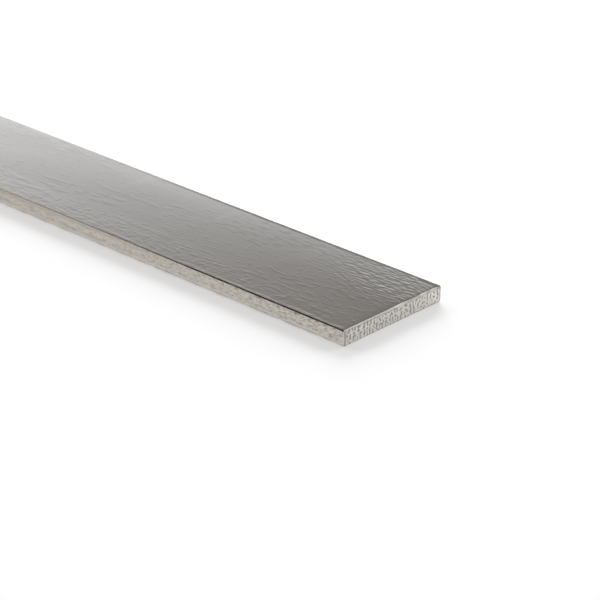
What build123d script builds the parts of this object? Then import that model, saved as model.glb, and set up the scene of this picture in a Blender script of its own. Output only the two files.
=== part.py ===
from build123d import *

import os

# Steel flat bar, 1 in x 1/8 in, one 36 in retail length, cut from wider strip.
# Frame: millimetres, +Z up.  The bar lies flat on Z = 0 with its length along X and its width
# along Y.  The origin is at the middle of its underside.

INCH = 25.4

# --- Driving dimensions ----------------------------------------------------------------------
WIDTH = 1.0 * INCH
THICKNESS = INCH / 8
LENGTH = 36.0 * INCH

# The long edges are slit: the blades draw the lower corners over, and leave the upper corners
# keen, with only their burr taken off.
ROLLOVER_RADIUS = 0.22 * THICKNESS
ARRIS_RADIUS = 0.20

# The ends are cut square, and a file has been run round them once.
END_CHAMFER = 0.12


def bar_section():
    """The section that runs the whole length, centred on Y = 0 and standing on Z = 0."""
    with BuildSketch(Plane.YZ) as section:
        Rectangle(WIDTH, THICKNESS, align=(Align.CENTER, Align.MIN))
        lower_corners = section.vertices().group_by(Axis.Y)[0]
        fillet(lower_corners, ROLLOVER_RADIUS)
        upper_corners = section.vertices().group_by(Axis.Y)[-1]
        fillet(upper_corners, ARRIS_RADIUS)
    return section.sketch


def flat_bar():
    """One length of the section, with its two cut ends dressed."""
    with BuildPart() as bar:
        extrude(bar_section(), amount=LENGTH / 2, both=True)
        end_faces = bar.faces().filter_by(Axis.X)
        chamfer(end_faces.edges(), END_CHAMFER)
    return bar.part


PIECES = {
    "flat_bar": flat_bar,
}

os.makedirs("parts", exist_ok=True)
for node, make_piece in PIECES.items():
    export_step(make_piece(), f"parts/{node}.step")
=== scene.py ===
import math

import bpy
import numpy as np
from mathutils import Matrix, Vector


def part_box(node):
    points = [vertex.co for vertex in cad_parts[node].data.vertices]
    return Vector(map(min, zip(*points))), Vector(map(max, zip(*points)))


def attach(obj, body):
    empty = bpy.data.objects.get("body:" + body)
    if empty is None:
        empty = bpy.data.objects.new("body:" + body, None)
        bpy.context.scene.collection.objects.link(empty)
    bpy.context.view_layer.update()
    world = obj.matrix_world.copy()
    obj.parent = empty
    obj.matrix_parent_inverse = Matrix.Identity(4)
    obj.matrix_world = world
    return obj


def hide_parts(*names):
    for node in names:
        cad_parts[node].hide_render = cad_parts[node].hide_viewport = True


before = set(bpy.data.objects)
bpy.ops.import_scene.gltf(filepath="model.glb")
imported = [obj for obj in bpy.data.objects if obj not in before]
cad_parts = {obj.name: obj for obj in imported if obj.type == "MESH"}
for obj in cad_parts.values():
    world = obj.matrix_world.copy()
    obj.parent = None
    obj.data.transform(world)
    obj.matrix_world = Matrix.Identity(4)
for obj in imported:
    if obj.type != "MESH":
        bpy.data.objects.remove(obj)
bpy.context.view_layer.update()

NODE = "flat_bar"
BODY = "root"
MM = 0.001

low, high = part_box(NODE)
LENGTH, WIDTH, THICKNESS = high - low


# --- Camera ----------------------------------------------------------------------------------
# The bar's near upper corner is seen at NEAR_CORNER_PIXEL of the square picture.
IMAGE_SIZE = 600
NEAR_CORNER_PIXEL = (343.49, 330.78)
FOCAL_PIXELS = 2502.0
SENSOR_MM = 36.0
AZIMUTH = math.radians(43.68)
ELEVATION = math.radians(25.35)
CORNER_DEPTH = 426.3 * MM       # from the camera to the corner, along the view


def make_camera():
    """A camera that sees the near upper corner at its pixel."""
    back = Vector((math.sin(AZIMUTH) * math.cos(ELEVATION),
                   -math.cos(AZIMUTH) * math.cos(ELEVATION),
                   math.sin(ELEVATION)))
    right = Vector((math.cos(AZIMUTH), math.sin(AZIMUTH), 0.0))
    up = back.cross(right)
    near_corner = Vector((high.x, low.y, high.z))
    metres_per_pixel = CORNER_DEPTH / FOCAL_PIXELS
    across = (NEAR_CORNER_PIXEL[0] - IMAGE_SIZE / 2) * metres_per_pixel
    down = (NEAR_CORNER_PIXEL[1] - IMAGE_SIZE / 2) * metres_per_pixel

    data = bpy.data.cameras.new("camera")
    data.sensor_width = SENSOR_MM
    data.lens = FOCAL_PIXELS / IMAGE_SIZE * SENSOR_MM
    data.clip_start = 10 * MM
    camera = bpy.data.objects.new("camera", data)
    bpy.context.collection.objects.link(camera)
    placed = Matrix((right, up, back)).transposed().to_4x4()
    placed.translation = near_corner + back * CORNER_DEPTH - right * across + up * down
    camera.matrix_world = placed
    bpy.context.scene.camera = camera


# --- Repeatable noise ------------------------------------------------------------------------
def smooth_noise(u, v, seed):
    """Value noise between -1 and 1 over the plane, with one random value on each unit of u and v."""
    u = np.asarray(u, float)
    v = np.asarray(v, float)
    first_u, first_v = math.floor(u.min()), math.floor(v.min())
    cells = (math.floor(u.max()) - first_u + 2, math.floor(v.max()) - first_v + 2)
    values = np.random.default_rng(seed).uniform(-1.0, 1.0, cells)
    column = np.floor(u).astype(int) - first_u
    row = np.floor(v).astype(int) - first_v
    du = u - np.floor(u)
    dv = v - np.floor(v)
    du = du * du * (3 - 2 * du)
    dv = dv * dv * (3 - 2 * dv)
    lower = values[column, row] * (1 - du) + values[column + 1, row] * du
    upper = values[column, row + 1] * (1 - du) + values[column + 1, row + 1] * du
    return lower * (1 - dv) + upper * dv


def unit_noise(u, v, seed):
    """The same noise, between 0 and 1."""
    return 0.5 + 0.5 * smooth_noise(u, v, seed)


# --- The bar's outline -----------------------------------------------------------------------
# A ring of points is the section's outline.  It starts in the middle of the near lower corner and
# runs under the bar, up the far side, back over the top and down the near side.
ROLLOVER_RADIUS = 0.22 * THICKNESS
ARRIS_RADIUS = 0.20 * MM
END_CHAMFER = 0.05 * MM

ROLLOVER_CELLS = 8              # round a lower corner
ARRIS_CELLS = 4                 # round an upper corner
UNDER_CELLS = 320               # across the underside, between its corners
TOP_CELLS = UNDER_CELLS + ROLLOVER_CELLS - ARRIS_CELLS
SIDE_CELLS = 32                 # up a long side, between its corners
SHADED_CELLS = 7                # of the top beside an upper corner, which painted shade darkens

WIDE_RUN = UNDER_CELLS + ROLLOVER_CELLS         # cells from corner middle to corner middle
SIDE_RUN = SIDE_CELLS + (ROLLOVER_CELLS + ARRIS_CELLS) // 2
RING_SIZE = 2 * (WIDE_RUN + SIDE_RUN)


def ring_outline(inset=0.0):
    """The (y, z) points of one full ring, with the outline drawn in by inset."""
    half_width = WIDTH / 2
    rollover = ROLLOVER_RADIUS - inset
    arris = ARRIS_RADIUS - inset
    lower = half_width - ROLLOVER_RADIUS
    upper = half_width - ARRIS_RADIUS
    crest = THICKNESS - ARRIS_RADIUS
    corners = (
        (-lower, ROLLOVER_RADIUS, rollover, math.pi, ROLLOVER_CELLS, UNDER_CELLS),
        (lower, ROLLOVER_RADIUS, rollover, 1.5 * math.pi, ROLLOVER_CELLS, SIDE_CELLS),
        (upper, crest, arris, 0.0, ARRIS_CELLS, TOP_CELLS),
        (-upper, crest, arris, 0.5 * math.pi, ARRIS_CELLS, SIDE_CELLS),
    )
    arcs = []
    for y, z, radius, start, cells, _ in corners:
        turn = start + np.linspace(0.0, 0.5 * math.pi, cells + 1)
        arcs.append(np.column_stack((y + radius * np.cos(turn), z + radius * np.sin(turn))))
    outline = []
    for index, (*_, flat_cells) in enumerate(corners):
        arc, next_arc = arcs[index], arcs[(index + 1) % len(arcs)]
        share = np.linspace(0.0, 1.0, flat_cells + 1)[1:-1, None]
        outline.append(arc)
        outline.append(arc[-1] * (1 - share) + next_arc[0] * share)
    return np.roll(np.vstack(outline), -ROLLOVER_CELLS // 2, axis=0)


def kept_points(flat_step, side_step, corner_step):
    """Indices of the ring points that stay where the bar needs fewer of them."""
    kept = []
    start = -ROLLOVER_CELLS // 2
    runs = ((ROLLOVER_CELLS, corner_step), (UNDER_CELLS, flat_step),
            (ROLLOVER_CELLS, corner_step), (SIDE_CELLS, side_step),
            (ARRIS_CELLS, corner_step), (TOP_CELLS, flat_step),
            (ARRIS_CELLS, corner_step), (SIDE_CELLS, side_step))
    for cells, step in runs:
        beside = [1, cells - 1] + [SHADED_CELLS, cells - SHADED_CELLS] * (cells > 2 * SHADED_CELLS)
        kept += [start + place for place in (*beside, *range(0, cells, step))]
        start += cells
    return sorted({index % RING_SIZE for index in kept})


# --- What rolling, cutting and handling did to it ---------------------------------------------
# Everything here stays inside the bar's CAD box.  It only takes metal away, except that the long
# arrises are keener than the solid's, most of all where nothing has rubbed them.
FALL = 0.034 * MM               # drop of the top towards its far edge, where the slitter drew it down
WAVE = 0.006 * MM               # depth of the rolls' waves
WAVE_LENGTH, WAVE_WIDTH = 24 * MM, 8 * MM
RIPPLE_LENGTH, RIPPLE_WIDTH = 0.4 * WAVE_LENGTH, 0.3 * WAVE_WIDTH       # of the small waves on them
RIPPLE_SHARE = 0.3              # of the depth, and the large waves have the rest
DUB = 0.02 * MM                 # how far the file turned the top down at the very end
DUB_REACH = 0.45 * MM
ON_ARRIS = 1.45 * ARRIS_RADIUS  # from the corner's lines, within which a point belongs to its arris
WEAR_SPREAD = 1.2 * ARRIS_RADIUS        # how far wear spreads from a corner's lines
ARRIS_WEAR = 0.02 * MM
RUB_LENGTH = 3.0 * MM           # along the bar, from much wear to little
KEEN_SHARE = 0.10               # of the arris radius is left where nothing has rubbed the arris
RUBBED_SHARE = 0.80             # and where much has
RUBBED_REACH = 85 * MM          # from an end, where hands and racks have rubbed it
NICK_DEPTH = 0.08 * MM
NICK_LENGTH = 0.9 * MM
NICK_LEVEL, NICK_SPAN = 0.80, 0.20      # of the noise: where nicks begin, and from there to the deepest
BEVEL_DEPTH = 0.09 * MM         # how far the end's upper bevel reaches along the bar
BEVEL_WANDER = 0.02 * MM        # and how much that varies
BEVEL_DROP = 0.14 * MM          # its least height
BEVEL_SLIP = 0.06 * MM          # and how much that varies
SLIP_LENGTH = 0.8 * MM
BEVEL_FALL = 0.25               # power by which the bevel dies out from the top down to mid height
CHIP_REACH = 0.17 * MM          # how far chips in the bevel reach beyond it, along the bar
CHIP_DROP = 0.42 * MM           # and down the end
CHIP_LENGTH = 1.2 * MM          # across the bar, from one chip to the next
CHIP_SPREAD = 0.9               # how strongly their noise swings about its middle
CHIP_FROM, CHIP_FULL = -4 * MM, 3 * MM          # across the bar, where chips begin and where they are full
CHIP_FADE = 1.5 * MM            # from the far side, over which they end
CUT_WANDER = 0.03 * MM          # how far the end's other edges wander along the bar
WANDER_LENGTH = 1.8 * MM
EDGE_REACH = 0.5 * MM           # how far along the bar the edges' wander still shows
TOP_BITE = (0.42 * MM, 0.14 * MM)       # place and width of the groove that the blade left inside the top,
NEAR_BITE = (0.50 * MM, 0.34 * MM)      # inside the near side
FAR_BITE = (0.16 * MM, 0.24 * MM)       # and inside the far side
BITE_DEPTH = 0.04 * MM
EVEN_SIZE = 1.2 * MM            # of the slow noise that varies the top groove
PATCHY_SIZE = (0.5 * MM, 0.7 * MM)      # and of the quick noise that breaks up the side ones
TEAR_DEPTH = 0.05 * MM          # relief of the cut faces
TEAR_SPACING = 0.87 * MM        # across the bar, from one tear to the next
TEAR_WAVES = 48                 # which together make the tears' pattern
TEAR_RATES = (0.65, 1.5)        # the slowest and the quickest of them, against the spacing
TEAR_TURNS = (math.radians(8), math.radians(50))        # how far they turn: the upright tears, the others
TEAR_LEVEL, TEAR_SPAN = 0.35, 0.3       # of their sum: where a tear begins, and from there to its floor
CUT_SWELL = 0.03 * MM           # relief of their slow swell
SWELL_SIZE = (5 * MM, 2 * MM)

WAVE_SEED, RIPPLE_SEED, RUB_SEED, NICK_SEED = 11, 12, 21, 22
END_SEEDS = {1: 100, -1: 200}   # for the end at +X and the one at -X, with these added:
SLIP_SEED, WANDER_SEED, CHIP_SEED = 5, 6, 7
EVEN_SEED, PATCHY_SEED, SWELL_SEED = 6, 7, 9


def roll_waves(x, y):
    """How far the top lies below its crest, from the rolls."""
    swell = smooth_noise(x / WAVE_LENGTH, y / WAVE_WIDTH, WAVE_SEED)
    ripple = smooth_noise(x / RIPPLE_LENGTH, y / RIPPLE_WIDTH, RIPPLE_SEED)
    return WAVE * (0.5 + 0.5 * ((1 - RIPPLE_SHARE) * swell + RIPPLE_SHARE * ripple))


def corner_wear(x, side, height):
    """How far a long corner is worn back at x.  side and height say which corner it is."""
    corner = 10 * side + 3 * height
    rub = unit_noise(x / RUB_LENGTH, corner, RUB_SEED)
    nick = np.clip(smooth_noise(x / NICK_LENGTH, corner, NICK_SEED) - NICK_LEVEL, 0.0, None) / NICK_SPAN
    return ARRIS_WEAR * rub + NICK_DEPTH * nick


def worn_section(x, outline):
    """The outline's (y, z) points as they are at x."""
    from_end = LENGTH / 2 - abs(x)
    corner = np.column_stack((np.sign(outline[:, 0]) * WIDTH / 2, np.full(len(outline), THICKNESS)))
    on_arris = np.all(np.abs(outline - corner) < ON_ARRIS, axis=1)
    rubbed = KEEN_SHARE + (RUBBED_SHARE - KEEN_SHARE) * math.exp(-(from_end / RUBBED_REACH) ** 4)
    near_side = np.clip(1 - (WIDTH / 2 - np.abs(outline[:, 0])) / WEAR_SPREAD, 0.0, 1.0)
    near_flat = np.minimum(outline[:, 1], THICKNESS - outline[:, 1])
    near_flat = np.clip(1 - near_flat / WEAR_SPREAD, 0.0, 1.0)
    outline = np.where(on_arris[:, None], corner + (outline - corner) * rubbed, outline)
    y, z = outline.T
    upness = z / THICKNESS
    drop = FALL * np.maximum(2 * y / WIDTH, 0.0) ** 3 + DUB * math.exp(-from_end / DUB_REACH)
    drop = drop + roll_waves(np.full(len(y), x), y)
    side, height = np.sign(y), np.round(upness)
    wear = corner_wear(np.full(len(y), x), side, height) * near_side * near_flat * rubbed
    return np.column_stack((y - side * wear, z - drop * upness - wear * (2 * height - 1)))


def cut_tears(y, z, seed):
    """Relief of a cut face, from 0 on the islands left standing to 1 in the tears between them."""
    draw = np.random.default_rng(seed)
    field = np.zeros(len(y))
    for index in range(TEAR_WAVES):
        turn = draw.normal(0.0, TEAR_TURNS[index % 2])
        rate = 2 * math.pi / TEAR_SPACING * draw.uniform(*TEAR_RATES)
        field += np.cos(rate * (y * math.cos(turn) + z * math.sin(turn)) + draw.uniform(0, 2 * math.pi))
    field *= math.sqrt(2 / TEAR_WAVES)
    return np.clip((field - TEAR_LEVEL) / TEAR_SPAN, 0.0, 1.0)


def first_bite(y, z, seed):
    """1 in the groove that the blade left just inside the top and the sides, and 0 away from it."""
    insets = (THICKNESS - z, TOP_BITE), (WIDTH / 2 + y, NEAR_BITE), (WIDTH / 2 - y, FAR_BITE)
    top, near, far = (np.exp(-((inset - place) / width) ** 2) for inset, (place, width) in insets)
    even = unit_noise(y / EVEN_SIZE, z / EVEN_SIZE, seed + EVEN_SEED)
    patchy = unit_noise(y / PATCHY_SIZE[0], z / PATCHY_SIZE[1], seed + PATCHY_SEED)
    return np.maximum(top * (0.5 + 0.5 * even), np.maximum(near * patchy, far * (0.5 + 0.5 * patchy)))


# --- The bar's mesh --------------------------------------------------------------------------
class Shell:
    """Points and faces of the bar, gathered ring by ring."""

    def __init__(self):
        self.points = []
        self.places = []            # each point's place in the full ring, or -1 inside a cut face
        self.faces = []
        self.count = 0

    def add(self, points, places):
        """Adds points and returns their indices."""
        indices = np.arange(self.count, self.count + len(points))
        self.points.append(points)
        self.places.append(places)
        self.count += len(points)
        return indices

    def bridge(self, front, front_kept, back, back_kept):
        """Faces between two rings.  Each ring lists which points of the full ring it has.

        One of the two has every point of the other, and perhaps more.
        """
        if len(front) >= len(back):
            dense, dense_kept, sparse, sparse_kept, flip = front, front_kept, back, back_kept, False
        else:
            dense, dense_kept, sparse, sparse_kept, flip = back, back_kept, front, front_kept, True
        place = {point: index for index, point in enumerate(dense_kept)}
        for index, point in enumerate(sparse_kept):
            after = (index + 1) % len(sparse)
            first = place[point]
            cells = (place[sparse_kept[after]] - first) % len(dense)
            run = [dense[(first + step) % len(dense)] for step in range(cells + 1)]
            if cells == 1:
                faces = [(run[0], sparse[index], sparse[after], run[1])]
            else:
                middle = cells // 2
                faces = [(run[k], sparse[index], run[k + 1]) for k in range(middle)]
                faces.append((run[middle], sparse[index], sparse[after]))
                faces += [(run[k], sparse[after], run[k + 1]) for k in range(middle, cells)]
            self.faces += [face[::-1] for face in faces] if flip else faces

    def cap(self, ring, facing, seed):
        """Fills a full ring with a torn grid whose edge is that ring.  facing is 1 at +X, -1 at -X."""
        edge = np.vstack(self.points)[ring]
        corners = np.cumsum((0, WIDE_RUN, SIDE_RUN, WIDE_RUN))
        under = np.arange(corners[0], corners[1] + 1)
        far_side = np.arange(corners[1], corners[2] + 1)
        top = np.arange(corners[2], corners[3] + 1)[::-1]
        near_side = (np.arange(corners[3], RING_SIZE + 1) % RING_SIZE)[::-1]
        grid = np.empty((WIDE_RUN + 1, SIDE_RUN + 1), int)
        grid[:, 0], grid[:, -1] = ring[under], ring[top]
        grid[0, :], grid[-1, :] = ring[near_side], ring[far_side]
        across = np.linspace(0, 1, WIDE_RUN + 1)[1:-1, None, None]
        upward = np.linspace(0, 1, SIDE_RUN + 1)[None, 1:-1, None]
        low_edge, high_edge = edge[under][1:-1, None], edge[top][1:-1, None]
        near_edge, far_edge = edge[near_side][None, 1:-1], edge[far_side][None, 1:-1]
        near_low, far_low = edge[under[0]], edge[under[-1]]
        near_high, far_high = edge[top[0]], edge[top[-1]]
        inner = ((1 - upward) * low_edge + upward * high_edge
                 + (1 - across) * near_edge + across * far_edge
                 - (1 - across) * (1 - upward) * near_low - across * (1 - upward) * far_low
                 - (1 - across) * upward * near_high - across * upward * far_high).reshape(-1, 3)
        y, z = inner[:, 1], inner[:, 2]
        swell = unit_noise(y / SWELL_SIZE[0], z / SWELL_SIZE[1], seed + SWELL_SEED)
        inner[:, 0] -= facing * (TEAR_DEPTH * cut_tears(y, z, seed) + CUT_SWELL * swell
                                 + BITE_DEPTH * first_bite(y, z, seed))
        grid[1:-1, 1:-1] = self.add(inner, np.full(len(inner), -1)).reshape(WIDE_RUN - 1, SIDE_RUN - 1)
        quads = np.stack((grid[:-1, :-1], grid[1:, :-1], grid[1:, 1:], grid[:-1, 1:]), axis=-1)
        quads = quads.reshape(-1, 4)
        self.faces += [tuple(quad) for quad in (quads if facing > 0 else quads[:, ::-1])]


DRESSED_ZONE = 110 * MM         # close stations reach this far from an end
FIRST_STATION = 0.14 * MM       # from the cut face, and the steps grow from there
STATION_GROWTH = 1.18
CLOSE_STATION = 1.0 * MM
WIDE_STATION = 5.0 * MM


def edge_chips(y, seed):
    """How chipped the end's upper bevel is, from 0 to 1, across the bar."""
    amount = np.clip((y - CHIP_FROM) / (CHIP_FULL - CHIP_FROM), 0.0, 1.0)
    amount = amount * np.clip((WIDTH / 2 - y) / CHIP_FADE, 0.0, 1.0)
    return amount * np.clip(0.5 + CHIP_SPREAD * smooth_noise(y / CHIP_LENGTH, 0.0, seed), 0.0, 1.0)


def end_rings(facing):
    """Rings of one end, from its cut face inward, as (points, kept points)."""
    full = list(range(RING_SIZE))
    close = kept_points(flat_step=8, side_step=4, corner_step=1)
    outline, capped = ring_outline(), ring_outline(END_CHAMFER)
    seed = END_SEEDS[facing]
    y, z = outline.T
    slip = unit_noise(y / SLIP_LENGTH, z / SLIP_LENGTH, seed + SLIP_SEED)
    wander = unit_noise(y / WANDER_LENGTH, z / WANDER_LENGTH, seed + WANDER_SEED)
    chips = edge_chips(y, seed + CHIP_SEED)
    upper = np.clip(2 * z / THICKNESS - 1, 0.0, 1.0) ** BEVEL_FALL

    stations = [(0.0, capped, full), (END_CHAMFER, outline, full)]
    inward, step = END_CHAMFER + FIRST_STATION, FIRST_STATION
    while inward < DRESSED_ZONE:
        stations.append((inward, outline, close))
        step = min(step * STATION_GROWTH, CLOSE_STATION)
        inward += step
    rings = []
    for inward, shape, kept in stations:
        section = worn_section(facing * (LENGTH / 2 - inward), shape)
        if inward == 0.0:
            drop = BEVEL_DROP - END_CHAMFER + BEVEL_SLIP * slip + CHIP_DROP * chips
            section[:, 1] -= drop * upper
            depth = np.zeros(RING_SIZE)
        else:
            bevel = BEVEL_DEPTH - END_CHAMFER + BEVEL_WANDER * wander + CHIP_REACH * chips
            edge = CUT_WANDER * wander + bevel * upper
            depth = inward + edge * math.exp(-(inward - END_CHAMFER) / EDGE_REACH)
        x = facing * (LENGTH / 2 - depth)
        rings.append((np.column_stack((x, section))[kept], kept))
    return rings


def make_shell():
    """One closed shell: a fine grid on each cut end, and rings along the length between them."""
    wide = kept_points(flat_step=16, side_step=4, corner_step=2)
    outline = ring_outline()
    middle = LENGTH / 2 - DRESSED_ZONE
    stations = np.linspace(middle, -middle, round(2 * middle / WIDE_STATION) + 1)
    between = []
    for x in stations:
        section = worn_section(x, outline)
        between.append((np.column_stack((np.full(RING_SIZE, x), section))[wide], wide))

    shell = Shell()
    rings = end_rings(1) + between + end_rings(-1)[::-1]
    rings = [(shell.add(points, kept), kept) for points, kept in rings]
    for (front, front_kept), (back, back_kept) in zip(rings, rings[1:]):
        shell.bridge(front, front_kept, back, back_kept)
    shell.cap(rings[0][0], 1, END_SEEDS[1])
    shell.cap(rings[-1][0], -1, END_SEEDS[-1])
    return np.vstack(shell.points), np.concatenate(shell.places), shell.faces


CRISP_ANGLE = math.radians(36)  # above which an edge is drawn sharp
BITE_SHARE = 0.9                # how dark a groove is painted, against a tear: painted shade in the blade's grooves, which under the upper rim is a painted shadow
LINE_TURN = 50                  # degrees round an arris, from the top to the middle of its painted dark line, which stands in for a dark reflection
LINE_SPREAD = 68                # and from there to where the line fades out
SHADED_REACH = 0.80 * MM        # how far the painted shade of the far arris spreads over the top
SHADED_SHARE = 0.52
LINE_EDGE = 2.5                 # how sharply the painted dark line begins and ends
SLACK = 1e-7                    # metres, in telling which points lie on an arris
FOOT_START, FOOT_FULL = 20, 32  # degrees round a lower corner, from the side, where the painted contact shade begins and is full
FOOT_HEIGHT = 0.20 * MM         # on a cut end, where half of that painted shade is left


def cut_tears_and_groove_shade(points, places):
    """1 in the tears of the cut faces, and in their grooves as painted shade, and 0 elsewhere, for each
    point.
    """
    relief = np.zeros(len(points))
    for facing, seed in END_SEEDS.items():
        inner = (places < 0) & (points[:, 0] * facing > 0)
        y, z = points[inner, 1:].T
        relief[inner] = np.maximum(cut_tears(y, z, seed), BITE_SHARE * first_bite(y, z, seed))
    return relief


def on_ring(share, places):
    """share, which is given round the full ring, at each of those places.  It is 0 inside a cut face."""
    return np.where(places < 0, 0.0, share[places])


def arris_shade_share(places):
    """1 along the painted dark lines of the two upper long arrises, which stand in for dark reflections, and
    0 away from them, for each point.
    """
    y, z = ring_outline().T
    out = np.abs(y) - (WIDTH / 2 - ARRIS_RADIUS)
    up = z - (THICKNESS - ARRIS_RADIUS)
    turn = np.degrees(np.arctan2(out, up))
    line = np.clip(LINE_EDGE * (1 - np.abs(turn - LINE_TURN) / LINE_SPREAD), 0.0, 1.0)
    line = np.where((out > -SLACK) & (up > -SLACK), line, 0.0)
    distance = np.hypot(WIDTH / 2 - np.abs(y), THICKNESS - z)
    # beside the far arris, painted shade spreads over the top
    soil_and_shade = SHADED_SHARE * (distance < SHADED_REACH)
    return on_ring(np.where(y > 0, np.maximum(line, soil_and_shade), line), places)


def foot_shade_share(points, places):
    """1 low on the lower corners and along the foot of the cut ends, where painted contact shade lies, and 0
    elsewhere.
    """
    y, z = ring_outline().T
    out = np.abs(y) - (WIDTH / 2 - ROLLOVER_RADIUS)
    under = ROLLOVER_RADIUS - z
    turn = np.degrees(np.arctan2(under, out))
    share = np.clip((turn - FOOT_START) / (FOOT_FULL - FOOT_START), 0.0, 1.0)
    share = np.where((out > 0) & (under > 0), share, 0.0)
    end_foot = np.clip(1.5 - points[:, 2] / FOOT_HEIGHT, 0.0, 1.0) * (places < 0)
    return np.maximum(on_ring(share, places), end_foot)


MAP_SIZE = 240 * MM             # how much of the bar's surface lies along a side of its texture map
MAP_STRIPS = 4                  # pieces that the length is cut into there, one above another
MAP_GAP = 0.8 * MM
CUT_SCALE = 3.0                 # the cut ends lie above the strips, this much larger
CUT_PLACES = {1: 4 * MM, -1: 90 * MM}   # across the map, of the end at +X and the one at -X


def add_texture_map(mesh, points, places):
    """A texture map in which no part of the bar overlaps another, for baked textures."""
    vertex = np.empty(len(mesh.loops), int)
    mesh.loops.foreach_get("vertex_index", vertex)
    sides = np.empty(len(mesh.polygons), int)
    mesh.polygons.foreach_get("loop_total", sides)
    first = np.cumsum(sides) - sides
    face = np.repeat(np.arange(len(sides)), sides)
    x, y, z = points[vertex].T
    place = places[vertex]
    place[(place == 0) & (np.maximum.reduceat(place, first)[face] > RING_SIZE / 2)] = RING_SIZE
    on_cut = np.minimum.reduceat(place, first)[face] < 0

    outline = ring_outline()
    steps = np.linalg.norm(np.roll(outline, -1, axis=0) - outline, axis=1)
    round_ring = np.concatenate(((0.0,), np.cumsum(steps)))
    strip_length, strip_height = LENGTH / MAP_STRIPS, round_ring[-1] + MAP_GAP
    middle = (np.add.reduceat(x, first) / sides)[face]
    strip = np.floor((middle + LENGTH / 2) / strip_length).clip(0, MAP_STRIPS - 1)
    u = x + LENGTH / 2 - strip * strip_length + (MAP_SIZE - strip_length) / 2
    v = strip * strip_height + MAP_GAP / 2 + round_ring[place]
    cut_u = np.where(x > 0, CUT_PLACES[1], CUT_PLACES[-1]) + CUT_SCALE * (y + WIDTH / 2)
    cut_v = MAP_STRIPS * strip_height + MAP_GAP + CUT_SCALE * z
    uv = np.column_stack((np.where(on_cut, cut_u, u), np.where(on_cut, cut_v, v))) / MAP_SIZE
    mesh.uv_layers.new(name="OFBake").uv.foreach_set("vector", uv.ravel())


ROLLED, SLIT, CUT = 0, 1, 2     # the places of the three materials
ALONG, ACROSS = 0.5, 0.7        # parts of the normal that a face on a cut end, or on a long edge, exceeds


def surface_kinds(mesh):
    """Which of the three materials each face wears, by the way it faces."""
    normal = np.empty(3 * len(mesh.polygons))
    mesh.polygons.foreach_get("normal", normal)
    along, across, _ = np.abs(normal.reshape(-1, 3).T)
    return np.where(along > ALONG, CUT, np.where(across > ACROSS, SLIT, ROLLED))


def make_bar():
    """The bar's one visual piece, which wears three materials."""
    points, places, faces = make_shell()
    mesh = bpy.data.meshes.new(NODE + "_look")
    mesh.from_pydata(points.tolist(), [], faces)
    mesh.validate()
    mesh.polygons.foreach_set("use_smooth", [True] * len(mesh.polygons))
    mesh.set_sharp_from_angle(angle=CRISP_ANGLE)
    # arris and foot carry painted shade: a dark line along the upper arrises and a contact shadow along the
    # foot
    shares = {"relief": cut_tears_and_groove_shade(points, places), "arris": arris_shade_share(places),
              "foot": foot_shade_share(points, places)}
    for name, share in shares.items():
        mesh.attributes.new(name, "FLOAT", "POINT").data.foreach_set("value", share)
    add_texture_map(mesh, points, places)
    for material in (rolled_face_material(), slit_edge_material(), cut_end_material()):
        mesh.materials.append(material)
    mesh.polygons.foreach_set("material_index", surface_kinds(mesh))
    bar = bpy.data.objects.new(NODE + "_look", mesh)
    bpy.context.collection.objects.link(bar)
    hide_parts(NODE)
    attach(bar, BODY)


# --- Node helpers ----------------------------------------------------------------------------
class Nodes:
    """A material's or world's node tree, with short calls that add nodes and link them."""

    def __init__(self, owner):
        owner.use_nodes = True
        self.tree = owner.node_tree
        self.tree.nodes.clear()

    def add(self, kind, inputs=None, **settings):
        """Adds a node.  inputs maps a socket's name or number to a value or to another socket."""
        node = self.tree.nodes.new(kind)
        for name, value in settings.items():
            setattr(node, name, value)
        for socket, value in (inputs or {}).items():
            if isinstance(value, bpy.types.NodeSocket):
                self.tree.links.new(value, node.inputs[socket])
            else:
                node.inputs[socket].default_value = value
        return node

    def math(self, operation, first, second=0.0, third=0.0):
        inputs = {0: first, 1: second, 2: third}
        return self.add("ShaderNodeMath", inputs, operation=operation).outputs[0]

    def blend(self, share, first, second):
        """A colour that goes from first to second as share goes from 0 to 1."""
        mix = self.add("ShaderNodeMix", {0: share, 6: first, 7: second}, data_type="RGBA")
        return mix.outputs[2]

    def between(self, value, start, end, low=0.0, high=1.0):
        """low where value is at start, high where it is at end, and smooth between them."""
        inputs = {"Value": value, "From Min": start, "From Max": end, "To Min": low, "To Max": high}
        return self.add("ShaderNodeMapRange", inputs, interpolation_type="SMOOTHSTEP").outputs[0]

    def grain(self, place, size, detail):
        """Noise whose grains have that size on each axis."""
        scale = tuple(1.0 / part for part in size)
        stretched = self.add("ShaderNodeMapping", {"Vector": place, "Scale": scale}).outputs[0]
        values = {"Vector": stretched, "Scale": 1.0, "Detail": detail}
        return self.add("ShaderNodeTexNoise", values).outputs[0]

    def attribute(self, name):
        return self.add("ShaderNodeAttribute", attribute_name=name).outputs["Fac"]

    def steel(self, colour, roughness, height, depth):
        """Bare metal of that colour and roughness.  height is its relief, and depth is that of height 1."""
        bump = self.add("ShaderNodeBump", {"Height": height, "Strength": 1.0, "Distance": depth})
        shader = self.add("ShaderNodeBsdfPrincipled", {
            "Base Color": colour, "Metallic": 1.0, "Roughness": roughness, "Normal": bump.outputs[0]})
        self.surface(shader.outputs[0])

    def surface(self, socket, kind="ShaderNodeOutputMaterial"):
        self.add(kind, {"Surface": socket})


# --- Bar materials ---------------------------------------------------------------------------
# Four numbers that fade something are where the fade starts and ends, and its values there.
FLAT = 1.0                      # grain size, in metres, on the axis that a face looks along
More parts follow.
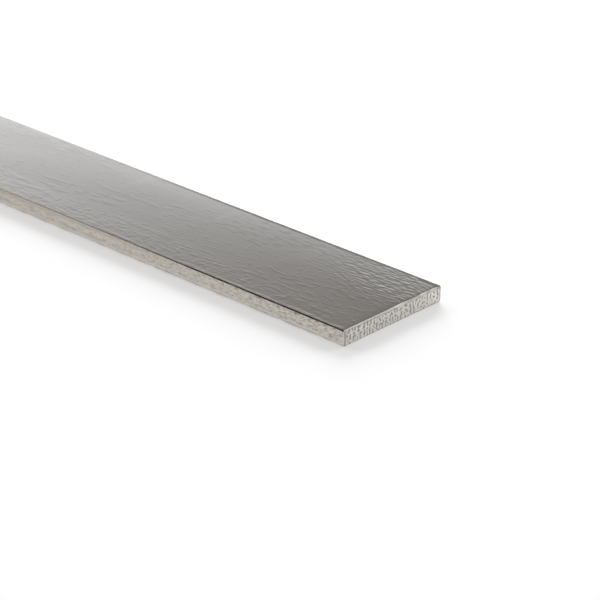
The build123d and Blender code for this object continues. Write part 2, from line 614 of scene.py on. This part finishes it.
# Painted shade: a dark colour painted along the upper arrises as a dark reflection, and low on the lower
# corners and the cut ends' foot as a contact shadow.
PAINTED_DARK = (0.014, 0.013, 0.012, 1.0)
NEAR_LINE, FAR_LINE = 75 * MM, 120 * MM         # how far from an end the two upper arrises are painted dark
NEAR_FULL, FAR_FULL = 0.6, 0.7  # the share of near_ends from which they are fully dark
SHADE_BREAK_SIZE = (3 * MM, 2 * MM, FLAT)
UPPER_SHADE_FADE = (0.25, 0.6, 0.7, 1.0)              # fade of the painted shade over its noise, on the upper corners
LOWER_SHADE_FADE = (0.35, 0.65, 0.25, 0.60)           # and on the lower ones, where it is painted contact shade
SHADE_ROUGHNESS = 0.5

# Painted light: this colour brightens the faces low down, against the dark floor shadow that they reflect,
# and the cut ends' upper rim as a painted highlight.
PAINTED_BRIGHT = (0.930, 0.895, 0.845, 1.0)
FOOT_PAINTED_SPAN = (1.1 * MM, 0.4 * MM)                 # heights between which a face is painted bright at its foot
RIM_PAINTED_SPAN = (THICKNESS - 0.36 * MM, THICKNESS - 0.20 * MM)        # and at its upper rim


def near_ends(nodes, place, reach):
    """1 at the cut ends, falling to 0 that far from them."""
    x = nodes.add("ShaderNodeSeparateXYZ", {0: place}).outputs[0]
    return nodes.between(nodes.math("ABSOLUTE", x), LENGTH / 2 - reach, LENGTH / 2)


def warped(nodes, place, size, sway):
    """place moved across the bar by slow noise, so that straight streaks wander a little."""
    drift = nodes.add("ShaderNodeTexNoise", {"Vector": place, "Scale": 1 / size, "Detail": 1.0}).outputs[1]
    centred = nodes.add("ShaderNodeVectorMath", {0: drift, 1: (0.5, 0.5, 0.5)}, operation="SUBTRACT")
    sideways = {0: centred.outputs[0], 1: (0.0, sway, 0.0)}
    moved = nodes.add("ShaderNodeVectorMath", sideways, operation="MULTIPLY")
    return nodes.add("ShaderNodeVectorMath", {0: place, 1: moved.outputs[0]}).outputs[0]


def painted_corner_shade(nodes, place):
    """1 where painted shade darkens a long corner and 0 away from it: a painted dark line along the upper
    arrises in place of a dark reflection, and a painted contact shadow low on the lower ones.  The upper ones
    fade away from the cut ends.
    """
    broken = nodes.grain(place, SHADE_BREAK_SIZE, detail=2.0)
    far_side = nodes.between(nodes.add("ShaderNodeSeparateXYZ", {0: place}).outputs[1], -MM, MM)
    near_line = nodes.between(near_ends(nodes, place, NEAR_LINE), 0.0, NEAR_FULL)
    far_line = nodes.between(near_ends(nodes, place, FAR_LINE), 0.0, FAR_FULL)
    along = nodes.add("ShaderNodeMix", {0: far_side, 2: near_line, 3: far_line}).outputs[0]
    upper = nodes.math("MULTIPLY", nodes.attribute("arris"), along)
    upper = nodes.math("MULTIPLY", upper, nodes.between(broken, *UPPER_SHADE_FADE))
    lower = nodes.math("MULTIPLY", nodes.attribute("foot"), nodes.between(broken, *LOWER_SHADE_FADE))
    return nodes.math("MAXIMUM", upper, lower)


def painted_brightening(nodes, place, foot, rim=0.0):
    """How far a face is painted bright: painted light at its foot, and a painted highlight along its upper
    rim.
    """
    height = nodes.add("ShaderNodeSeparateXYZ", {0: place}).outputs[2]
    low_part = nodes.between(height, *FOOT_PAINTED_SPAN, 0.0, foot)
    high_part = nodes.between(height, *RIM_PAINTED_SPAN, 0.0, rim)
    return nodes.math("MAXIMUM", low_part, high_part)


FACE_BRIGHT = (0.820, 0.820, 0.820, 1.0)
FACE_DULL = (0.775, 0.773, 0.770, 1.0)
FACE_STREAK = (0.752, 0.750, 0.747, 1.0)
FACE_RUBBED = (0.880, 0.880, 0.878, 1.0)
RUBBED_TINT = 0.4               # how much of that the near side has
FACE_ROUGHNESS = (0.115, 0.100)                 # where the face is dull and where it is bright
CLOUD_SIZE = (60 * MM, 14 * MM, FLAT)
CLOUD_STEP = (0.35, 0.65)       # of its noise, from dull to bright
PATCH_SIZE = (34 * MM, 9 * MM, FLAT)
PATCH_STEP = (0.44, 0.66)       # of its noise, from few streaks to many
CROWDED = (-4 * MM, -10 * MM)   # across the top, between which streaks become many towards the near side
DENT_SIZE = (6.0 * MM, 1.4 * MM, FLAT)
STREAK_SIZE = (2.2 * MM, 0.90 * MM, FLAT)
SHORT_SIZE = (1.1 * MM, 0.74 * MM, FLAT)
SHORT_SHARE = 0.6               # height of the short streaks, against the others
STREAK_WANDER = (7 * MM, 0.5 * MM)              # length and width of the streaks' sway
SPARSE_FROM, CROWDED_FROM = 0.62, 0.46          # of their noise, where few streaks rise and where many do
STREAK_RISE = 0.20              # of their noise, from their foot to their crest

FACE_RELIEF = 0.004 * MM        # of a height of 1
STREAKED = 150 * MM             # how far from an end the fine streaks grow and the long dents fade
FINE_FAR, FINE_NEAR = 0.15, 0.80                # heights of the fine streaks, far from the ends and at them
DENT_FADE = (0.35, 0.95, 0.8, 0.25)             # of the long dents' height, along that reach
DENT_TINT = 0.8                 # how much of a streak's colour the long dents have
FAR_FADE = (-4 * MM, 4 * MM, 1.0, 0.65)         # of both, across the top towards its far side
WRINKLED = 31 * MM              # from an end, where the far side is wrinkled
WRINKLED_FROM = (-4 * MM, 6 * MM)               # across the top, from no wrinkles to full ones
WRINKLE_SIZE = (1.8 * MM, 0.66 * MM, FLAT)
WRINKLE_WANDER = (3 * MM, 0.3 * MM)
WRINKLE_HEIGHT = 9.0
BURR = 75 * MM                  # from an end, where a burr stands along the near arris
BURR_RISE = (-WIDTH / 2 + 1.2 * MM, -WIDTH / 2 + 0.1 * MM)      # across the top, its foot and its crest
BURR_HEIGHT = 3.0


def streaks(nodes, place, size, crowding):
    """Raised streaks of that size, from a few where crowding is 0 to many where it is 1."""
    foot = nodes.math("MULTIPLY_ADD", crowding, CROWDED_FROM - SPARSE_FROM, SPARSE_FROM)
    crest = nodes.math("ADD", foot, STREAK_RISE)
    return nodes.between(nodes.grain(place, size, detail=0.4), foot, crest)


def rolled_relief(nodes, place, long_dents, fine):
    """Height of the rolled face: its streaks, the wrinkles of its far corners and the burr near the arris."""
    across = nodes.add("ShaderNodeSeparateXYZ", {0: place}).outputs[1]
    ends = near_ends(nodes, place, STREAKED)
    fine_height = nodes.math("MULTIPLY_ADD", ends, FINE_NEAR - FINE_FAR, FINE_FAR)
    height = nodes.math("ADD", long_dents, nodes.math("MULTIPLY", fine, fine_height))
    height = nodes.math("MULTIPLY", height, nodes.between(across, *FAR_FADE))
    burr = nodes.math("MULTIPLY", nodes.between(across, *BURR_RISE), near_ends(nodes, place, BURR))
    height = nodes.math("MULTIPLY_ADD", burr, BURR_HEIGHT, height)
    wrinkles = nodes.grain(warped(nodes, place, *WRINKLE_WANDER), WRINKLE_SIZE, detail=0.8)
    wrinkled = nodes.between(across, *WRINKLED_FROM)
    wrinkled = nodes.math("MULTIPLY", near_ends(nodes, place, WRINKLED), wrinkled)
    return nodes.math("MULTIPLY_ADD", wrinkles, nodes.math("MULTIPLY", wrinkled, WRINKLE_HEIGHT), height)


def rolled_face_material():
    """Bright steel from the rolls: short raised streaks along the length, thick in patches."""
    material = bpy.data.materials.new("rolled_face")
    nodes = Nodes(material)
    place = nodes.add("ShaderNodeTexCoord").outputs["Object"]
    across = nodes.add("ShaderNodeSeparateXYZ", {0: place}).outputs[1]
    wandering = warped(nodes, place, *STREAK_WANDER)
    near_edge = nodes.between(across, *CROWDED)
    patches = nodes.between(nodes.grain(place, PATCH_SIZE, detail=2.0), *PATCH_STEP)
    crowding = nodes.math("MAXIMUM", patches, near_edge)
    dent_height = nodes.between(near_ends(nodes, place, STREAKED), *DENT_FADE)
    long_dents = nodes.math("MULTIPLY", streaks(nodes, wandering, DENT_SIZE, crowding), dent_height)
    long_streaks = streaks(nodes, wandering, STREAK_SIZE, crowding)
    short_streaks = streaks(nodes, wandering, SHORT_SIZE, near_edge)
    fine = nodes.math("MULTIPLY_ADD", short_streaks, SHORT_SHARE, long_streaks)

    cloud = nodes.grain(place, CLOUD_SIZE, detail=3.0)
    colour = nodes.blend(nodes.between(cloud, *CLOUD_STEP), FACE_DULL, FACE_BRIGHT)
    marks = nodes.math("MINIMUM", nodes.math("MULTIPLY_ADD", long_dents, DENT_TINT, fine), 1.0)
    colour = nodes.blend(marks, colour, FACE_STREAK)
    colour = nodes.blend(nodes.math("MULTIPLY", near_edge, RUBBED_TINT), colour, FACE_RUBBED)
    # painted shade along the long corners: dark lines in place of dark reflections, and a contact shadow
    painted_shade = painted_corner_shade(nodes, place)
    colour = nodes.blend(painted_shade, colour, PAINTED_DARK)
    roughness = nodes.between(cloud, *CLOUD_STEP, *FACE_ROUGHNESS)
    roughness = nodes.math("MAXIMUM", roughness, nodes.math("MULTIPLY", painted_shade, SHADE_ROUGHNESS))
    nodes.steel(colour, roughness, rolled_relief(nodes, place, long_dents, fine), FACE_RELIEF)
    return material


EDGE_LIGHT = (0.720, 0.677, 0.623, 1.0)
EDGE_BRIGHT = (0.755, 0.710, 0.655, 1.0)
EDGE_DARK = (0.350, 0.317, 0.276, 1.0)
EDGE_PINK = (0.630, 0.578, 0.525, 1.0)
EDGE_ROUGHNESS = 0.5
EDGE_RELIEF = 0.03 * MM
EDGE_FOOT = 0.6                 # how bright the foot is painted
EDGE_GRAIN = (1.2 * MM, FLAT, 0.28 * MM)
GRAIN_STEP = (0.52, 0.36)       # of its noise, from clean to a dark streak
STREAK_DARK = (0.4, 0.75)       # far from the ends and at them
TINT_SIZE = (3.0 * MM, FLAT, 0.8 * MM)
TINT_STEP = (0.42, 0.66)        # of its noise, from light to pink
PITTED = 90 * MM                # from an end, where the edges are pitted
SPOT_SIZE = (0.85 * MM, FLAT, 0.5 * MM)
SPOT_STEP = (0.53, 0.62)        # of its noise, from clean to a pit
UPPER_PART = (1.9 * MM, 2.8 * MM)               # heights between which pits and soil become many
LOW_PITS = 0.3                  # the lower part's pits, against the upper part's
SOIL_FADE = (0.0, 0.8, 0.42, 0.25)              # of the upper part's soil, along the pitted reach


def slit_edge_material():
    """The slit long edges: dull and beige, faintly streaked along the length, with pits near the ends."""
    material = bpy.data.materials.new("slit_edge")
    nodes = Nodes(material)
    place = nodes.add("ShaderNodeTexCoord").outputs["Object"]
    ends = near_ends(nodes, place, PITTED)
    grain = nodes.grain(place, EDGE_GRAIN, detail=2.0)
    tint = nodes.between(nodes.grain(place, TINT_SIZE, detail=2.0), *TINT_STEP)
    light = nodes.blend(ends, nodes.blend(tint, EDGE_LIGHT, EDGE_PINK), EDGE_BRIGHT)

    upper = nodes.between(nodes.add("ShaderNodeSeparateXYZ", {0: place}).outputs[2], *UPPER_PART)
    pitted = nodes.math("MULTIPLY_ADD", upper, 1 - LOW_PITS, LOW_PITS)
    pitted = nodes.math("MULTIPLY", pitted, nodes.math("SQRT", ends))
    spots = nodes.between(nodes.grain(place, SPOT_SIZE, detail=1.0), *SPOT_STEP)
    pits = nodes.math("MULTIPLY", spots, pitted)
    streak_dark = nodes.between(ends, 0.0, 1.0, *STREAK_DARK)
    streaked = nodes.math("MULTIPLY", nodes.between(grain, *GRAIN_STEP), streak_dark)
    soil_and_shade = nodes.math("MULTIPLY", upper, nodes.between(ends, *SOIL_FADE))
    dark = nodes.math("MAXIMUM", nodes.math("MAXIMUM", pits, streaked), soil_and_shade)
    colour = nodes.blend(dark, light, EDGE_DARK)
    # painted light at the foot, against the floor shadow that it reflects
    colour = nodes.blend(painted_brightening(nodes, place, EDGE_FOOT), colour, PAINTED_BRIGHT)
    # painted shade along the long corners and the foot
    colour = nodes.blend(painted_corner_shade(nodes, place), colour, PAINTED_DARK)
    nodes.steel(colour, EDGE_ROUGHNESS, grain, EDGE_RELIEF)
    return material


END_LIGHT = (0.812, 0.778, 0.730, 1.0)
END_DARK = (0.350, 0.336, 0.318, 1.0)
END_ROUGHNESS = 0.5
END_RELIEF = 0.01 * MM
END_FOOT, END_RIM = 0.25, 0.85  # how bright the foot and the upper rim are painted
END_GRAIN = (FLAT, 0.16 * MM, 0.30 * MM)
FRAY = 0.3                      # how far the grain frays the tears' edges


def cut_end_material():
    """The cut ends: pale islands of steel, dark in the tears between them."""
    material = bpy.data.materials.new("cut_end")
    nodes = Nodes(material)
    place = nodes.add("ShaderNodeTexCoord").outputs["Object"]
    grain = nodes.grain(place, END_GRAIN, detail=1.0)
    frayed = nodes.math("MULTIPLY", nodes.math("SUBTRACT", grain, 0.5), FRAY)
    # relief holds the tears and the painted shade of the grooves
    torn = nodes.math("ADD", nodes.attribute("relief"), frayed)
    torn = nodes.math("MINIMUM", nodes.math("MAXIMUM", torn, 0.0), 1.0)
    colour = nodes.blend(torn, END_LIGHT, END_DARK)
    # painted light at the foot and a painted highlight along the upper rim
    colour = nodes.blend(painted_brightening(nodes, place, END_FOOT, END_RIM), colour, PAINTED_BRIGHT)
    # painted shade along the long corners and the foot
    colour = nodes.blend(painted_corner_shade(nodes, place), colour, PAINTED_DARK)
    nodes.steel(colour, END_ROUGHNESS, grain, END_RELIEF)
    return material


# --- Stage -----------------------------------------------------------------------------------
FLOOR_COLOUR = (0.895, 0.900, 0.911, 1.0)
FLOOR_GLOW = 0.340              # added where the camera and reflections see the floor
PAPER_EDGE = (0.50, 0.90)       # radii between which the lit paper gives way to a plain white floor
WALL_RADIUS = 5.0
WALL_HEIGHT = 3.12
WALL_FOOT = 1.2                 # radius of the sweep between floor and wall
GREY_FROM = (0.10, 0.50)        # heights between which the wall turns from white to pale grey,
WHITE_FROM = (1.25, 1.65)       # to a white band
DIM_FROM = (1.65, 2.63)         # and to its dim top
BLACK = (0.0, 0.0, 0.0, 1.0)
WHITE = (1.0, 1.0, 1.0, 1.0)
WALL_GREY = (0.60, 0.60, 0.60, 1.0)
WALL_DIM = (0.198, 0.183, 0.166, 1.0)
WALL_SIDES = 96
WALL_ROWS = 12                  # of faces up the sweep
FLOOR_RINGS = (0.02, 1.0)       # radii inside the sweep where the floor's faces divide
ROOM_COLOUR = (0.134, 0.122, 0.110, 1.0)
TOP_COLOUR = (0.80, 0.80, 0.80, 1.0)
DIM_TO, BRIGHT_FROM = math.radians(52), math.radians(76)    # heights in the sky of the soft top light
LAMP_SIZE = (1.8, 2.0)
LAMP_DISTANCE = 3.0
LAMP_AIM = Vector((0.40, 0.0, 0.0))
LAMPS = {                       # direction, and the light on white paper as a share of white
    "behind": ((0.35, 1.0, 0.40), 0.116),
    "between": ((-0.75, 0.75, 0.40), 0.376),
    "left": ((-1.0, -0.15, 0.40), 0.116),
}


def seen_ray(nodes):
    """1 for a ray from the camera, a reflection or a transmission, and 0 for any other."""
    path = nodes.add("ShaderNodeLightPath").outputs
    seen = nodes.math("MAXIMUM", path["Is Camera Ray"], path["Is Glossy Ray"])
    return nodes.math("MAXIMUM", seen, path["Is Transmission Ray"])


def backdrop_material():
    """White paper that keeps shadows, and round it a wall: pale grey, then a band of white, then dim."""
    material = bpy.data.materials.new("backdrop")
    nodes = Nodes(material)
    position = nodes.add("ShaderNodeNewGeometry").outputs["Position"]
    axes = nodes.add("ShaderNodeSeparateXYZ", {0: position}).outputs
    level = nodes.add("ShaderNodeCombineXYZ", {0: axes[0], 1: axes[1]}).outputs[0]
    radius = nodes.add("ShaderNodeVectorMath", {0: level}, operation="LENGTH").outputs["Value"]
    outward = nodes.between(radius, *PAPER_EDGE)
    glow = nodes.math("MULTIPLY", nodes.between(radius, *PAPER_EDGE, FLOOR_GLOW, 1.0), seen_ray(nodes))
    paper = nodes.add("ShaderNodeBsdfDiffuse", {"Color": nodes.blend(outward, FLOOR_COLOUR, BLACK)})
    colour = nodes.blend(nodes.between(axes[2], *GREY_FROM), WHITE, WALL_GREY)
    colour = nodes.blend(nodes.between(axes[2], *WHITE_FROM), colour, WHITE)
    colour = nodes.blend(nodes.between(axes[2], *DIM_FROM), colour, WALL_DIM)
    light = nodes.add("ShaderNodeEmission", {"Color": colour, "Strength": glow})
    both = nodes.add("ShaderNodeAddShader", {0: paper.outputs[0], 1: light.outputs[0]})
    nodes.surface(both.outputs[0])
    return material


def make_backdrop():
    """A round white floor that sweeps up into a low wall all the way round."""
    turn = np.linspace(-0.5 * math.pi, 0.0, WALL_ROWS + 1)
    profile = [(radius, 0.0) for radius in FLOOR_RINGS]
    profile += [(WALL_RADIUS - WALL_FOOT + WALL_FOOT * math.cos(t), WALL_FOOT + WALL_FOOT * math.sin(t))
                for t in turn]
    profile.append((WALL_RADIUS, WALL_HEIGHT))
    points, faces = [(0.0, 0.0, 0.0)], []
    for radius, height in profile:
        for side in range(WALL_SIDES):
            angle = 2 * math.pi * side / WALL_SIDES
            points.append((radius * math.cos(angle), radius * math.sin(angle), height))
    for side in range(WALL_SIDES):
        after = (side + 1) % WALL_SIDES
        faces.append((0, 1 + side, 1 + after))
        for row in range(len(profile) - 1):
            inner, outer = 1 + row * WALL_SIDES, 1 + (row + 1) * WALL_SIDES
            faces.append((inner + side, outer + side, outer + after, inner + after))
    mesh = bpy.data.meshes.new("backdrop")
    mesh.from_pydata(points, [], faces)
    mesh.polygons.foreach_set("use_smooth", [True] * len(mesh.polygons))
    mesh.materials.append(backdrop_material())
    backdrop = bpy.data.objects.new("backdrop", mesh)
    bpy.context.collection.objects.link(backdrop)


def make_world():
    """A dim room with a soft light overhead."""
    world = bpy.data.worlds.new("room")
    nodes = Nodes(world)
    direction = nodes.add("ShaderNodeTexCoord").outputs["Generated"]
    height = nodes.add("ShaderNodeSeparateXYZ", {0: direction}).outputs[2]
    share = nodes.between(height, math.sin(DIM_TO), math.sin(BRIGHT_FROM))
    colour = nodes.blend(share, ROOM_COLOUR, TOP_COLOUR)
    background = nodes.add("ShaderNodeBackground", {"Color": colour})
    nodes.surface(background.outputs[0], "ShaderNodeOutputWorld")
    bpy.context.scene.world = world


def lamp_watts(light_on_floor, toward):
    """Power of a lamp in that direction that lights white paper to that share of white."""
    return light_on_floor * math.pi * math.pi * LAMP_DISTANCE ** 2 / toward.z


def make_lamps():
    """Three soft lamps round the back and the left, which only light the floor and what is dull."""
    for name, (direction, light) in LAMPS.items():
        toward = Vector(direction).normalized()
        data = bpy.data.lights.new(name, "AREA")
        data.shape = "RECTANGLE"
        data.size, data.size_y = LAMP_SIZE
        data.energy = lamp_watts(light, toward)
        lamp = bpy.data.objects.new(name, data)
        bpy.context.collection.objects.link(lamp)
        lamp.location = LAMP_AIM + toward * LAMP_DISTANCE
        lamp.rotation_euler = toward.to_track_quat("Z", "Y").to_euler()
        lamp.visible_camera = False
        lamp.visible_glossy = False


make_camera()
make_bar()
make_backdrop()
make_world()
make_lamps()
bpy.context.scene.view_settings.view_transform = "Standard"
